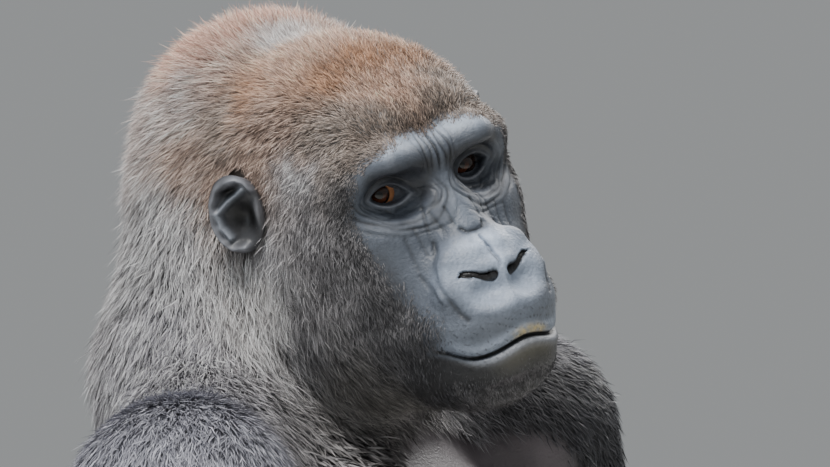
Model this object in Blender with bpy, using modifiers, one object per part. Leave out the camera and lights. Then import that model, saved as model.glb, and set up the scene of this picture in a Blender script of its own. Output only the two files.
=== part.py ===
"""Sitting gorilla, life size: a solid body out to the tips of its coat, parted at its joints.

The body is made whole, from overlapping balls and tapered limbs that a voxel remesh joins.
Its skin of points is then drawn onto one smooth surface, the level set of `surface`, so
that masses run into each other as muscle and fur do. Thin discs cut it at its joints.
The animal faces -Y, sits on Z = 0, and its left side is +X.
"""
import math

import bmesh
import bpy
import numpy as np
from mathutils import Matrix, Vector

MM = 0.001                      # every size below is in millimetres

# ---- driving dimensions ---------------------------------------------------------------
EYES = np.array([-66.0, -111.0, 775.0])    # midway between the pupils
HEAD_YAW = math.radians(23.0)              # the face is turned to the animal's right
HEAD_PITCH = math.radians(-1.1)
HEAD_ROLL = math.radians(17.4)             # the crown leans to the same side
EYE_CENTRE = np.array([33.0, -11.0, -0.5])
EYE_RADIUS = 12.4
EAR_CENTRE = np.array([98.0, -84.0, 4.0])
COAT_CROWN = 12.0                          # depth of the coat on crown and cheeks
COAT_NAPE = 7.0                            # how much deeper it is on the nape

SHOULDER = np.array([203.0, -13.0, 556.0])
ELBOW = np.array([345.0, 60.0, 270.0])
WRIST = np.array([366.0, -150.0, 96.0])
HIP = np.array([95.0, 40.0, 120.0])
KNEE = np.array([250.0, -190.0, 290.0])
ANKLE = np.array([186.0, -330.0, 76.0])
FINGER_PITCH = 25.0                        # from one finger to the next
TOE_PITCH = 22.0
REACH_LEFT = np.array([0, -30.0, 0])       # the left hand rests a little further forward
SHRUG_LEFT = np.array([-22.0, 1.0, 42.0])  # the left shoulder is drawn up and in

VOXEL = 5.5
TRIANGLES = 4500                           # of the body, before it is parted
GROUND = 300.0                             # depth of the block that cuts its seat and soles level
CUT = 0.4                                  # width of the gap at a joint
EYE_GAP = 0.35


# ---- smooth blending of distances -----------------------------------------------------
def ease(low, high, value):
    """0 below low, 1 above high, with a smooth step between; low may be the larger."""
    part = np.clip((value - low) / (high - low), 0, 1)
    return part * part * (3 - 2 * part)


def join(first, second, blend):
    """The smaller of two distances, rounded over the width blend."""
    share = np.clip(0.5 + 0.5 * (second - first) / blend, 0, 1)
    return second + (first - second) * share - blend * share * (1 - share)


def carve(first, second, blend):
    """Takes the inside of second away from first, with a rounded edge."""
    return -join(-first, second, blend)


def ball(points, centre, radii):
    """Distance from an ellipsoid, nearly true close to its surface."""
    scaled = (points - centre) / radii
    reach = np.sqrt((scaled * scaled).sum(-1)) + 1e-9
    return reach * (reach - 1) / (np.sqrt(((scaled / radii) ** 2).sum(-1)) + 1e-9)


def limb(points, start, end, start_radius, end_radius):
    """Distance from a straight limb with round ends, thinning from start to end."""
    start = np.asarray(start, float)
    along = np.asarray(end, float) - start
    part = np.clip((points - start) @ along / (along @ along), 0, 1)
    offset = points - start - part[:, None] * along
    return np.sqrt((offset * offset).sum(-1)) - start_radius - (end_radius - start_radius) * part


# ---- the head: X to its right, Y forward, Z up, from between the eyes -----------------
HEAD_BALLS = [   # centre, radii, blend, on both sides?
    ((0, -88, 22), (72, 92, 68), 1, False),         # skull
    ((5, -188, 28), (62, 62, 62), 26, False),       # crest at the back of the crown
    ((0, -172, -28), (97, 89, 108), 44, False),     # nape
    ((38, -64, 8), (37, 62, 52), 26, True),         # temple
    ((38, -66, -72), (46, 68, 66), 34, True),       # jaw muscle and jowl
    ((0, -8, -42), (45, 42, 54), 20, False),        # upper jaw
    ((0, -20, 34), (56, 26, 24), 16, False),        # forehead behind the brows
    ((0, 14, -91), (55, 63, 38), 20, False),        # muzzle
    ((0, 13, -122), (46, 62, 34), 12, False),       # chin
    ((0, -46, -104), (58, 62, 46), 30, False),      # throat
]
HEAD_LIMBS = [   # start, end, radii, blend, all on both sides
    ((38, 4, -30), (49, -12, -30), (14, 15), 24),      # cheekbone
    ((49, -12, -30), (60, -60, -28), (15, 18), 24),
    ((0, 10, 23), (38, 10, 30), (12, 13), 13),         # brow
    ((38, 10, 30), (56, -10, 26), (13, 12), 13),
    ((56, -10, 26), (59, -20, -16), (12, 10), 13),     # outer rim of the orbit
    ((0, -6, 10), (0, 28, -38), (12, 15), 14),         # bridge of the nose
]
NOSE_BALLS = [
    ((0, 36, -70), (42, 34, 32), 4, False),         # pad
    ((0, 50, -50), (23, 20, 16), 8, False),         # tip
]
NOSTRILS = [((6, 66, -67), (15, 62, -65), (3.4, 4.6)), ((15, 62, -65), (24, 55, -60), (4.6, 3.6))]


def head_surface(points):
    """Distance from the bare head."""
    folded = points.copy()
    folded[:, 0] = np.abs(points[:, 0])
    distance = np.full(len(points), 1e3)
    for centre, radii, blend, paired in HEAD_BALLS:
        distance = join(distance, ball(folded if paired else points, centre, radii), blend)
    for start, end, radii, blend in HEAD_LIMBS:
        distance = join(distance, limb(folded, start, end, *radii), blend)
    distance = carve(distance, ball(folded, (35, 17, -1), (22, 17, 15)), 12)      # eye hollow
    lid = np.linalg.norm(folded - EYE_CENTRE, axis=1) - EYE_RADIUS - 2.4
    distance = join(distance, lid, 8)
    for centre, radii, blend, _ in NOSE_BALLS:
        distance = join(distance, ball(points, centre, radii), blend)
    distance = carve(distance, ball(folded, (16, 76, -73), (14, 14, 10)), 6)      # under the tip
    for start, end, radii in NOSTRILS:
        distance = carve(distance, limb(folded, start, end, *radii), 3)
    distance = join(distance, limb(points, (0, 56, -52), (0, 61, -72), 8, 4), 4)  # septum
    side = folded[:, 0]
    mouth = -109.5 - 5.5 * ease(0, 30, side) + 11.0 * ease(30, 52, side)
    groove = np.exp(-((points[:, 2] - mouth) / 3.0) ** 2)
    return distance + 3.5 * groove * ease(53, 46, side) * ease(0, 20, points[:, 1])


def coat_depth(points):
    """Depth of the coat over the head: none on the face, most on the nape, little by the ear."""
    folded = np.abs(points[:, 0])
    depth = COAT_CROWN * ease(-4, -80, points[:, 1]) + COAT_NAPE * ease(-110, -175, points[:, 1])
    from_ear = np.sqrt((folded - EAR_CENTRE[0]) ** 2 + ((points[:, 1:] - EAR_CENTRE[1:]) ** 2).sum(1))
    return depth * (1 - 0.6 * np.exp(-(from_ear / 26) ** 2))


def head_axes():
    """Unit vectors to the head's right, forward and up, in the body's frame."""
    forward = np.array([-math.sin(HEAD_YAW), -math.cos(HEAD_YAW), 0])
    right = np.array([-math.cos(HEAD_YAW), math.sin(HEAD_YAW), 0])
    up = np.array([0.0, 0, 1])
    leaning = math.cos(HEAD_ROLL) * up + math.sin(HEAD_ROLL) * right
    right = math.cos(HEAD_ROLL) * right - math.sin(HEAD_ROLL) * up
    ahead = math.cos(HEAD_PITCH) * forward + math.sin(HEAD_PITCH) * leaning
    return np.array([right, ahead, np.cross(right, ahead)])


HEAD_AXES = head_axes()


def to_body(point):
    """A point of the head's frame, in the body's."""
    return EYES + np.asarray(point, float) @ HEAD_AXES


# ---- trunk, arms and legs, out to the tips of the coat --------------------------------
TRUNK_BALLS = [   # centre, radii, blend
    ((0, 75, 125), (172, 140, 133), 1),      # pelvis and rump
    ((0, -4, 268), (200, 174, 178), 60),     # belly
    ((0, 18, 455), (186, 146, 165), 60),     # ribs
    ((0, 42, 548), (168, 108, 98), 40),      # shoulder girdle
    ((72, -72, 485), (92, 58, 84), 30),      # breast muscle, right and left
    ((-72, -72, 485), (92, 58, 84), 30),
]
NECK_LIMBS = [   # start, end, radii, blend
    ((2, 44, 735), (0, 68, 640), (114, 124), 34),
    ((0, 78, 634), (174, 4, 574), (72, 64), 34),
    ((0, 78, 634), (-186, 4, 552), (72, 64), 34),
]


def arm_joints(side):
    """Shoulder, elbow and wrist; side is 1 for the left arm and -1 for the right."""
    flip = np.array([side, 1, 1])
    left = max(side, 0)
    shoulder = SHOULDER * flip + SHRUG_LEFT * left
    return shoulder, ELBOW * flip + REACH_LEFT / 2 * left, WRIST * flip + REACH_LEFT * left


def arm_limbs(side):
    """Tapered limbs of one arm, from the shoulder to four bent fingers and a thumb."""
    shoulder, elbow, wrist = arm_joints(side)
    biceps = (shoulder * 0.56 + elbow * 0.44) + (0, -6, 0)
    belly = elbow * 0.68 + wrist * 0.32
    rows = [(shoulder, biceps, (77, 74), 34), (biceps, elbow, (74, 58), 12),
            (elbow, belly, (58, 62), 12), (belly, wrist, (62, 38), 12)]
    for finger in range(4):
        across = np.array([(finger - 1.5) * FINGER_PITCH * side, 0, 0])
        longer = -4.0 * (finger in (1, 2))
        knuckle = wrist + across + (0, -54 + longer, -36)
        middle = wrist + across + (0, -96 + longer, -82.5)
        joint = wrist + across + (0, -58 + longer, -83.5)
        tip = wrist + across + (0, -36, -60)
        rows.append((wrist + across * 0.55, knuckle, (24, 17), 10))
        rows.append((knuckle, middle, (17, 15), 5))
        rows.append((middle, joint, (15, 14), 4))
        rows.append((joint, tip, (13, 11), 4))
    thumb = wrist + (-30 * side, -8, -14)
    rows.append((thumb, wrist + (-52 * side, -40, -40), (17, 14), 8))
    rows.append((wrist + (-52 * side, -40, -40), wrist + (-56 * side, -72, -60), (14, 11), 4))
    return rows


def leg_limbs(side):
    """Tapered limbs of one leg, with its foot flat on the ground."""
    flip = np.array([side, 1, 1])
    calf = KNEE * 0.6 + ANKLE * 0.4 + (2, 10, 0)
    heel = np.array([178.0, -302, 33])
    arch = np.array([192.0, -392, 32])
    rows = [(HIP, KNEE, (112, 78), 40), (KNEE, calf, (76, 62), 14), (calf, ANKLE, (62, 42), 14),
            (ANKLE, heel, (40, 36), 12), (heel, arch, (36, 34), 10), (ANKLE, arch, (38, 32), 16)]
    for toe in range(4):
        across = (toe - 1.0) * TOE_PITCH
        root = np.array([196.0 + across * 0.9, -446 + 6 * toe, 21])
        middle = np.array([199.0 + across, -482 + 9 * toe, 18])
        tip = np.array([201.0 + across, -512 + 11 * toe, 12])
        rows.append((arch + (across * 0.4, 0, -2), root, (28, 20), 14))
        rows.append((root, middle, (18, 15), 5))
        rows.append((middle, tip, (15, 13), 4))
    hallux = [np.array([172.0, -388, 24]), np.array([140.0, -432, 19]), np.array([122.0, -474, 15])]
    rows.append((hallux[0], hallux[1], (26, 19), 12))
    rows.append((hallux[1], hallux[2], (18, 16), 5))
    return [(start * flip, end * flip, radii, blend) for start, end, radii, blend in rows]


LIMBS = NECK_LIMBS + arm_limbs(1) + arm_limbs(-1) + leg_limbs(1) + leg_limbs(-1)


def surface(points):
    """Distance from the whole animal, in millimetres, below 0 inside its coat."""
    distance = np.full(len(points), 1e3)
    for centre, radii, blend in TRUNK_BALLS:
        distance = join(distance, ball(points, centre, radii), blend)
    for start, end, radii, blend in LIMBS:
        distance = join(distance, limb(points, start, end, *radii), blend)
    local = (points - EYES) @ HEAD_AXES.T
    near = np.linalg.norm(local - (0, -60, -20), axis=1) < 330
    head = np.full(len(points), 1e3)
    head[near] = head_surface(local[near]) - coat_depth(local[near])
    return join(distance, head, 26)


def draw_onto_surface(points, rounds):
    """Moves points along the gradient until the distance is nothing, in a few rounds."""
    step = 0.5
    for _ in range(rounds):
        here = surface(points)
        slope = np.stack([surface(points + step * axis) - here for axis in np.eye(3)], 1) / step
        steep = np.maximum((slope * slope).sum(1), 0.2)
        points = points - np.clip(here / steep, -VOXEL, VOXEL)[:, None] * slope
    return points


# ---- Blender's side -------------------------------------------------------------------
def clear_scene():
    for old in list(bpy.data.objects):
        bpy.data.objects.remove(old, do_unlink=True)


def new_object(name, mesh, collection):
    item = bpy.data.objects.new(name, mesh)
    collection.objects.link(item)
    return item


def evaluated(item):
    """The object's mesh with its modifiers applied."""
    graph = bpy.context.evaluated_depsgraph_get()
    return bpy.data.meshes.new_from_object(item.evaluated_get(graph))


def coat_material(name, colour, roughness):
    made = bpy.data.materials.new(name)
    made.use_nodes = True
    shader = made.node_tree.nodes["Principled BSDF"]
    shader.inputs["Base Color"].default_value = (*colour, 1)
    shader.inputs["Roughness"].default_value = roughness
    return made


def cutter_object(item):
    item.hide_render = True
    item.display_type = "WIRE"
    return item


def subtract(item, cutter):
    cut = item.modifiers.new(cutter.name, "BOOLEAN")
    cut.operation = "DIFFERENCE"
    cut.solver = "EXACT"
    cut.object = cutter


def box_mesh(name, centre, sides):
    build = bmesh.new()
    place = Matrix.Translation(Vector(centre) * MM) @ Matrix.Diagonal((*(Vector(sides) * MM), 1))
    bmesh.ops.create_cube(build, size=1, matrix=place)
    mesh = bpy.data.meshes.new(name)
    build.to_mesh(mesh)
    build.free()
    return mesh


def unit_ball():
    """Points and faces of a ball of radius 1."""
    build = bmesh.new()
    bmesh.ops.create_uvsphere(build, u_segments=18, v_segments=10, radius=1)
    points = np.array([vertex.co for vertex in build.verts])
    faces = [[vertex.index for vertex in face.verts] for face in build.faces]
    build.free()
    return points, faces


UNIT_POINTS, UNIT_FACES = unit_ball()


def ball_points(centre, radii, turn=np.eye(3)):
    """Points of an ellipsoid; the rows of turn are its axes."""
    return (UNIT_POINTS * radii) @ turn + np.asarray(centre, float)


def limb_points(start, end, radii, count=7):
    """Points of a chain of balls that fills a limb."""
    start, end = np.asarray(start, float), np.asarray(end, float)
    steps = np.linspace(0, 1, count)
    return [ball_points(start + (end - start) * t, (radii[0] + (radii[1] - radii[0]) * t,) * 3)
            for t in steps]


def mesh_of_balls(name, balls):
    """One mesh of many balls, given as their points in millimetres."""
    size = len(UNIT_POINTS)
    faces = [[corner + size * index for corner in face]
             for index in range(len(balls)) for face in UNIT_FACES]
    mesh = bpy.data.meshes.new(name)
    mesh.from_pydata((np.concatenate(balls) * MM).tolist(), [], faces)
    mesh.update()
    return mesh


def rough_body(cutters):
    """All the masses as overlapping balls, joined by a voxel remesh."""
    balls = [ball_points(centre, radii) for centre, radii, _ in TRUNK_BALLS]
    for start, end, radii, _ in LIMBS:
        balls += limb_points(start, end, radii)
    for centre, radii, _, paired in HEAD_BALLS + NOSE_BALLS:
        for side in (1, -1) if paired else (1,):
            balls.append(ball_points(to_body(np.array(centre) * (side, 1, 1)), radii, HEAD_AXES))
    for start, end, radii, _ in HEAD_LIMBS:
        for flip in ((1, 1, 1), (-1, 1, 1)):
            balls += limb_points(to_body(np.array(start) * flip), to_body(np.array(end) * flip), radii)
    item = cutter_object(new_object("masses", mesh_of_balls("masses", balls), cutters))
    remesh = item.modifiers.new("join", "REMESH")
    remesh.mode = "VOXEL"
    remesh.voxel_size = VOXEL * MM
    return item


def detail_weight(points):
    """How fine the triangles stay: 1 on face, hands and feet, less on trunk and limbs."""
    local = (points - EYES) @ HEAD_AXES.T
    head = ease(330, 250, np.linalg.norm(local - (0, -60, -20), axis=1))
    face = ease(-70, 0, local[:, 1]) * ease(210, 150, np.linalg.norm(local, axis=1))
    low = ease(125, 95, points[:, 2]) * ease(-120, -160, points[:, 1])
    return np.maximum(0.2 * head + 0.32 * face, 0.2 * low)


def whole_body(cutters):
    """The body as one closed mesh of about TRIANGLES faces, cut level with the ground."""
    masses = rough_body(cutters)
    fine = evaluated(masses)
    bpy.data.objects.remove(masses)
    points = np.empty(len(fine.vertices) * 3)
    fine.vertices.foreach_get("co", points)
    points = draw_onto_surface(points.reshape(-1, 3) / MM, 5)
    fine.vertices.foreach_set("co", (points * MM).ravel())
    fine.update()
    item = cutter_object(new_object("whole", fine, cutters))
    group = item.vertex_groups.new(name="coarse")
    coarse = np.round(1 - detail_weight(points), 1)
    for level in np.unique(coarse):
        group.add(np.nonzero(coarse == level)[0].tolist(), float(level), "REPLACE")
    thin = item.modifiers.new("thin", "DECIMATE")
    fine.calc_loop_triangles()
    thin.ratio = TRIANGLES / len(fine.loop_triangles)
    thin.vertex_group = group.name
    thin.vertex_group_factor = 1.0
    thin.use_collapse_triangulate = True
    ground = new_object("ground", box_mesh("ground", (0, 0, -GROUND / 2), (4 * GROUND, 4 * GROUND, GROUND)),
                        cutters)
    subtract(item, cutter_object(ground))
    return evaluated(item)


NECK_DISCS = [((0, 30, 725), (-0.15, -0.80, 0.58), 200), ((0, 66, 655), (0, -0.45, 0.89), 300)]


def limb_discs():
    """Centre, normal and radius of the thin disc that parts each joint of arms and legs."""
    rows = []
    for side in (1, -1):
        flip = np.array([side, 1, 1])
        _, elbow, wrist = arm_joints(side)
        forearm = (wrist - elbow) / np.linalg.norm(wrist - elbow)
        shank = (ANKLE - KNEE) / np.linalg.norm(ANKLE - KNEE)
        rows.append(((164 * side, 4, 530), (0.965 * side, 0, 0.262), 160))
        rows.append((elbow, (0.29 * side, -0.32, -0.90), 96))
        rows.append((wrist - forearm * 6, forearm, 62))
        rows.append(((140 * side, -55, 160), (0.72 * side, -0.60, -0.35), 190))
        rows.append(((229 * side, -185, 251), (0.18 * side, -0.96, -0.22), 132))
        rows.append((ANKLE * flip, shank * flip, 92))
    return rows


def disc_mesh(name, centre, normal, radius):
    build = bmesh.new()
    place = Vector(normal).to_track_quat("Z", "Y").to_matrix().to_4x4()
    place.translation = Vector(centre) * MM
    bmesh.ops.create_cone(build, cap_ends=True, segments=40, radius1=radius * MM,
                          radius2=radius * MM, depth=CUT * MM, matrix=place)
    mesh = bpy.data.meshes.new(name)
    build.to_mesh(mesh)
    build.free()
    return mesh


def cut_apart(mesh, discs, cutters):
    """The bodies that the discs leave of a mesh."""
    item = cutter_object(new_object("whole", mesh, cutters))
    for centre, normal, radius in discs:
        disc = new_object("disc", disc_mesh("disc", centre, normal, radius), cutters)
        subtract(item, cutter_object(disc))
    return islands(evaluated(item))


def middle_of(mesh):
    points = np.empty(len(mesh.vertices) * 3)
    mesh.vertices.foreach_get("co", points)
    points = points.reshape(-1, 3) / MM
    return (points.min(0) + points.max(0)) / 2


SEEDS = {"head": to_body((0, -60, -10)), "neck": np.array([0, 60, 710]),
         "trunk": np.array([0, 50, 330])}
for letter, sign in (("l", 1), ("r", -1)):
    MIRROR = np.array([sign, 1, 1])
    ARM = arm_joints(sign)
    SEEDS["upper_arm_" + letter] = (ARM[0] + ARM[1]) / 2
    SEEDS["forearm_" + letter] = (ARM[1] + ARM[2]) / 2
    SEEDS["hand_" + letter] = ARM[2] + (0, -60, -50)
    SEEDS["thigh_" + letter] = (HIP * 0.3 + KNEE * 0.7) * MIRROR
    SEEDS["shank_" + letter] = (KNEE * 0.4 + ANKLE * 0.6) * MIRROR
    SEEDS["foot_" + letter] = np.array([190, -420, 25]) * MIRROR


def islands(mesh):
    """The mesh's separate bodies, each as its own mesh."""
    label = np.arange(len(mesh.vertices))
    ends = np.empty(len(mesh.edges) * 2, int)
    mesh.edges.foreach_get("vertices", ends)
    first, second = ends.reshape(-1, 2).T
    while True:
        low = np.minimum(label[first], label[second])
        spread = label.copy()
        np.minimum.at(spread, first, low)
        np.minimum.at(spread, second, low)
        spread = spread[spread]
        if (spread == label).all():
            break
        label = spread
    made = []
    for body in np.unique(label):
        build = bmesh.new()
        build.from_mesh(mesh)
        drop = [vertex for vertex in build.verts if label[vertex.index] != body]
        bmesh.ops.delete(build, geom=drop, context="VERTS")
        piece = bpy.data.meshes.new("piece")
        build.to_mesh(piece)
        build.free()
        made.append(piece)
    return made


def part_body(cutters, parts):
    """The whole body, cut at its joints, as one named object for each part."""
    bodies = cut_apart(whole_body(cutters), limb_discs(), cutters)
    bodies.sort(key=lambda body: np.linalg.norm(middle_of(body) - SEEDS["trunk"]))
    bodies = cut_apart(bodies[0], NECK_DISCS, cutters) + bodies[1:]
    items = {}
    for body in bodies:
        middle = middle_of(body)
        name = min(SEEDS, key=lambda key: np.linalg.norm(SEEDS[key] - middle))
        assert name not in items, f"two bodies are nearest to {name}"
        items[name] = new_object(name, body, parts)
    assert len(items) == len(SEEDS), sorted(set(SEEDS) - set(items))
    return items


def ball_object(name, centre, radii, collection, turn=HEAD_AXES):
    """An ellipsoid placed in the head's frame, its axes along the rows of turn."""
    mesh = mesh_of_balls(name, [ball_points(to_body(centre), radii, turn)])
    return new_object(name, mesh, collection)


def eye_and_socket(letter, side, head, cutters, parts):
    """The eyeball, and the cut in the head that holds it and opens the lids."""
    flip = np.array([side, 1, 1])
    ball_object("eye_" + letter, EYE_CENTRE * flip, (EYE_RADIUS,) * 3, parts)
    socket = ball_object("socket_" + letter, EYE_CENTRE * flip, (EYE_RADIUS + EYE_GAP,) * 3, cutters)
    lids = ball_object("lids_" + letter, (EYE_CENTRE + (0, 14, 0.6)) * flip, (13.5, 12, 7.4), cutters)
    subtract(head, cutter_object(socket))
    subtract(head, cutter_object(lids))


EAR_RADII = (8.5, 20.5, 28.5)      # thickness, width and height, halved
EAR_TURN = math.radians(35)        # the rim stands off the head behind


def ear(letter, side, head, cutters, parts):
    """A cupped oval standing off the head, hollowed on its outer face, cut to the head."""
    flip = np.array([side, 1, 1])
    out = np.array([math.cos(EAR_TURN), math.sin(EAR_TURN), 0]) * flip
    ahead = np.cross((0, 0, 1), out)
    turn = np.array([out, ahead, (0, 0, 1)]) @ HEAD_AXES
    item = ball_object("ear_" + letter, EAR_CENTRE * flip, EAR_RADII, parts, turn)
    hollow = ball_object("hollow_" + letter, EAR_CENTRE * flip + out * 9,
                         (9, EAR_RADII[1] - 6, EAR_RADII[2] - 7), cutters, turn)
    grown = new_object("grown_" + letter, head.data.copy(), cutters)
    swell = grown.modifiers.new("gap", "DISPLACE")
    swell.strength = EYE_GAP * MM
    swell.mid_level = 0
    subtract(item, cutter_object(hollow))
    subtract(item, cutter_object(grown))


COLOURS = {
    "head": ((0.10, 0.085, 0.075), 0.8), "neck": ((0.09, 0.085, 0.08), 0.8),
    "trunk": ((0.045, 0.045, 0.047), 0.8), "upper": ((0.05, 0.05, 0.055), 0.8),
    "forearm": ((0.025, 0.023, 0.022), 0.8), "hand": ((0.03, 0.03, 0.032), 0.55),
    "thigh": ((0.05, 0.05, 0.052), 0.8), "shank": ((0.03, 0.028, 0.027), 0.8),
    "foot": ((0.03, 0.03, 0.032), 0.55), "ear": ((0.06, 0.055, 0.055), 0.6),
    "eye": ((0.03, 0.012, 0.006), 0.08),
}


def main():
    clear_scene()
    cutters = bpy.data.collections.new("cutters")
    parts = bpy.data.collections.new("gorilla")
    for collection in (cutters, parts):
        bpy.context.scene.collection.children.link(collection)
    items = part_body(cutters, parts)
    for letter, side in (("l", -1), ("r", 1)):
        ear(letter, side, items["head"], cutters, parts)
        eye_and_socket(letter, side, items["head"], cutters, parts)
    materials = {key: coat_material(key, *look) for key, look in COLOURS.items()}
    corners = np.array([item.matrix_world @ Vector(corner) for item in parts.objects
                        for corner in item.bound_box])
    middle = (corners.min(0) + corners.max(0)) / 2
    shift = Vector((-middle[0], -middle[1], 0))
    for item in parts.objects:
        item.data.materials.append(materials[item.name.split("_")[0]])
    for item in list(parts.objects) + list(cutters.objects):
        item.location += shift


main()
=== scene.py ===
import math

import bmesh
import bpy
import numpy as np
from mathutils import Matrix, Vector


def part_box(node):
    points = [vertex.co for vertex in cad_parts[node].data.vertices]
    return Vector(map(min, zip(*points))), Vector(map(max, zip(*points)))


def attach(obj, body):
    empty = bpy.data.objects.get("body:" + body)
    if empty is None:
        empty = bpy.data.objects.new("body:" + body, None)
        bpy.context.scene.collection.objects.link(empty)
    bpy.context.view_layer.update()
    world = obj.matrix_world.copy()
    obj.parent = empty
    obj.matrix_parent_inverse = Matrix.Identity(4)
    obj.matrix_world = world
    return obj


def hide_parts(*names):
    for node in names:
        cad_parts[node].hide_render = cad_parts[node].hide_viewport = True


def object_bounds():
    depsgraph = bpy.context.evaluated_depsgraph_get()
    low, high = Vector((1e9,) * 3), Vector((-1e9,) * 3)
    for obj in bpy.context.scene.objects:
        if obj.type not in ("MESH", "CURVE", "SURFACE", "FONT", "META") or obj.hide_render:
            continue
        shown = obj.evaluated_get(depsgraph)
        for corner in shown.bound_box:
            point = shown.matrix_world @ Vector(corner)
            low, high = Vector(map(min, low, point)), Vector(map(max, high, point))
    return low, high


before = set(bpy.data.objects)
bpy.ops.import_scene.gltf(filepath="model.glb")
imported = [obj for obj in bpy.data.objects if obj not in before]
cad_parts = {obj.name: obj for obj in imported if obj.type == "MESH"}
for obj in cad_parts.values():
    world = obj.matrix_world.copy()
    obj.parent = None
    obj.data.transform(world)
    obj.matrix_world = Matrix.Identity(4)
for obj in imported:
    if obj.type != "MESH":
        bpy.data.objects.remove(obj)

cad_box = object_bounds()

# The stand: where the animal's eyes are, a pale floor, soft studio light and the camera.
# The camera looks level at the face from the animal's right front, a little below its eyes.
MM = 0.001
HEAD_YAW = math.radians(23.0)
HEAD_PITCH = math.radians(-1.1)
HEAD_ROLL = math.radians(17.4)
EYE_CENTRE = np.array([33.0, -11.0, -0.5])
EYE_RADIUS = 12.4


def head_axes():
    """Unit vectors to the head's right, forward and up: yaw about Z, then roll, then pitch."""
    forward = np.array([-math.sin(HEAD_YAW), -math.cos(HEAD_YAW), 0])
    right = np.array([-math.cos(HEAD_YAW), math.sin(HEAD_YAW), 0])
    up = math.cos(HEAD_ROLL) * np.array([0, 0, 1]) + math.sin(HEAD_ROLL) * right
    right = math.cos(HEAD_ROLL) * right - math.sin(HEAD_ROLL) * np.array([0, 0, 1])
    ahead = math.cos(HEAD_PITCH) * forward + math.sin(HEAD_PITCH) * up
    return np.array([right, ahead, np.cross(right, ahead)])


def box_middle(node):
    low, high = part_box(node)
    return (np.array(low) + np.array(high)) / 2 / MM


HEAD_AXES = head_axes()
EYES = (box_middle("eye_l") + box_middle("eye_r")) / 2 - EYE_CENTRE * (0, 1, 1) @ HEAD_AXES


def to_world(points):
    """Points of the head's frame in the world's, all in millimetres."""
    return EYES + np.asarray(points, float) @ HEAD_AXES


def to_head(points):
    """Points of the world in the head's frame, all in millimetres."""
    return (points - EYES) @ HEAD_AXES.T


def add_object(name, data):
    item = bpy.data.objects.new(name, data)
    bpy.context.scene.collection.objects.link(item)
    return item


VIEW_RIGHT = np.array([0.574, -0.819, 0])
VIEW_AWAY = np.array([0.819, 0.574, 0])
VIEW_WIDE = 553.3
VIEW_FAR = 6000.0
AIM_RIGHT, AIM_UP = -7.3, -37.5            # from the eyes to the middle of the view
SENSOR = 36

lens = bpy.data.cameras.new("camera")
lens.sensor_width = SENSOR
lens.lens = lens.sensor_width * VIEW_FAR / VIEW_WIDE
lens.clip_end = 40
camera = add_object("camera", lens)
aim = EYES + AIM_RIGHT * VIEW_RIGHT + np.array([0, 0, AIM_UP])
seen_from = aim - VIEW_FAR * VIEW_AWAY
camera.matrix_world = Matrix([[VIEW_RIGHT[i], (0, 0, 1)[i], -VIEW_AWAY[i], seen_from[i] * MM]
                              for i in range(3)] + [[0, 0, 0, 1]])
bpy.context.scene.camera = camera


def area_light(name, place, power, size, colour):
    made = bpy.data.lights.new(name, "AREA")
    made.energy = power
    made.shape = "DISK"
    made.size = size
    made.color = colour
    item = add_object(name, made)
    item.location = Vector(place)
    item.rotation_euler = (Vector(EYES * MM) - item.location).to_track_quat("-Z", "Y").to_euler()


def from_view(right, up, back):
    """A place given from the eyes, in metres: to the camera's right, up, and towards it."""
    return (EYES * MM + right * VIEW_RIGHT + np.array([0, 0, up]) - back * VIEW_AWAY).tolist()


area_light("key", from_view(-0.7, 3.0, 1.5), 165, 1.3, (1, 0.99, 0.97))
area_light("fill", from_view(-2.4, 0.6, 2.0), 22, 2.0, (0.86, 0.93, 1))
area_light("rim", from_view(1.0, 2.0, -2.0), 90, 2.0, (1, 0.99, 0.97))

world = bpy.data.worlds.new("studio")
world.use_nodes = True
sky = world.node_tree.nodes["Background"].inputs
sky["Color"].default_value = (0.60, 0.62, 0.63, 1)
sky["Strength"].default_value = 0.5
bpy.context.scene.world = world

floor_mesh = bpy.data.meshes.new("floor")
floor_mesh.from_pydata([(-9, -9, 0), (9, -9, 0), (9, 9, 0), (-9, 9, 0)], [], [(0, 1, 2, 3)])
floor = add_object("floor", floor_mesh)
pale = bpy.data.materials.new("pale_floor")
pale.use_nodes = True
paint = pale.node_tree.nodes["Principled BSDF"].inputs
paint["Base Color"].default_value = (0.62, 0.62, 0.60, 1)
paint["Roughness"].default_value = 0.8
floor_mesh.materials.append(pale)

# The hide: one skin over head, trunk, arms, hands, legs and feet, under the coat's depth.
# Flesh is a set of balls and tapered limbs that run into each other; the hide is the
# surface where their blended distance is nothing, grown into each other without a seam.


def ease(low, high, value):
    """0 below low, 1 above high, 3t^2 - 2t^3 between; low may be the larger."""
    part = np.clip((value - low) / (high - low), 0, 1)
    return part * part * (3 - 2 * part)


def bump(distance, width):
    """1 at distance 0, falling as exp(-(distance / width)^2)."""
    return np.exp(-(distance / width) ** 2)


def join(first, second, blend):
    """The smaller distance, rounded over blend: a mix less blend * share * (1 - share)."""
    share = np.clip(0.5 + 0.5 * (second - first) / blend, 0, 1)
    return second + (first - second) * share - blend * share * (1 - share)


def carve(first, second, blend):
    """Takes the inside of second away from first, with a rounded edge."""
    return -join(-first, second, blend)


def ball(points, centre, radii):
    """Distance from an ellipsoid: k (k - 1) / |gradient|, with k the scaled reach."""
    scaled = (points - centre) / radii
    reach = np.sqrt((scaled * scaled).sum(-1)) + 1e-9
    return reach * (reach - 1) / (np.sqrt(((scaled / radii) ** 2).sum(-1)) + 1e-9)


def limb(points, start, end, start_radius, end_radius):
    """Distance from a segment, less a radius that runs evenly from start to end."""
    start = np.asarray(start, float)
    along = np.asarray(end, float) - start
    part = np.clip((points - start) @ along / (along @ along), 0, 1)
    offset = points - start - part[:, None] * along
    return np.sqrt((offset * offset).sum(-1)) - start_radius - (end_radius - start_radius) * part


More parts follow.
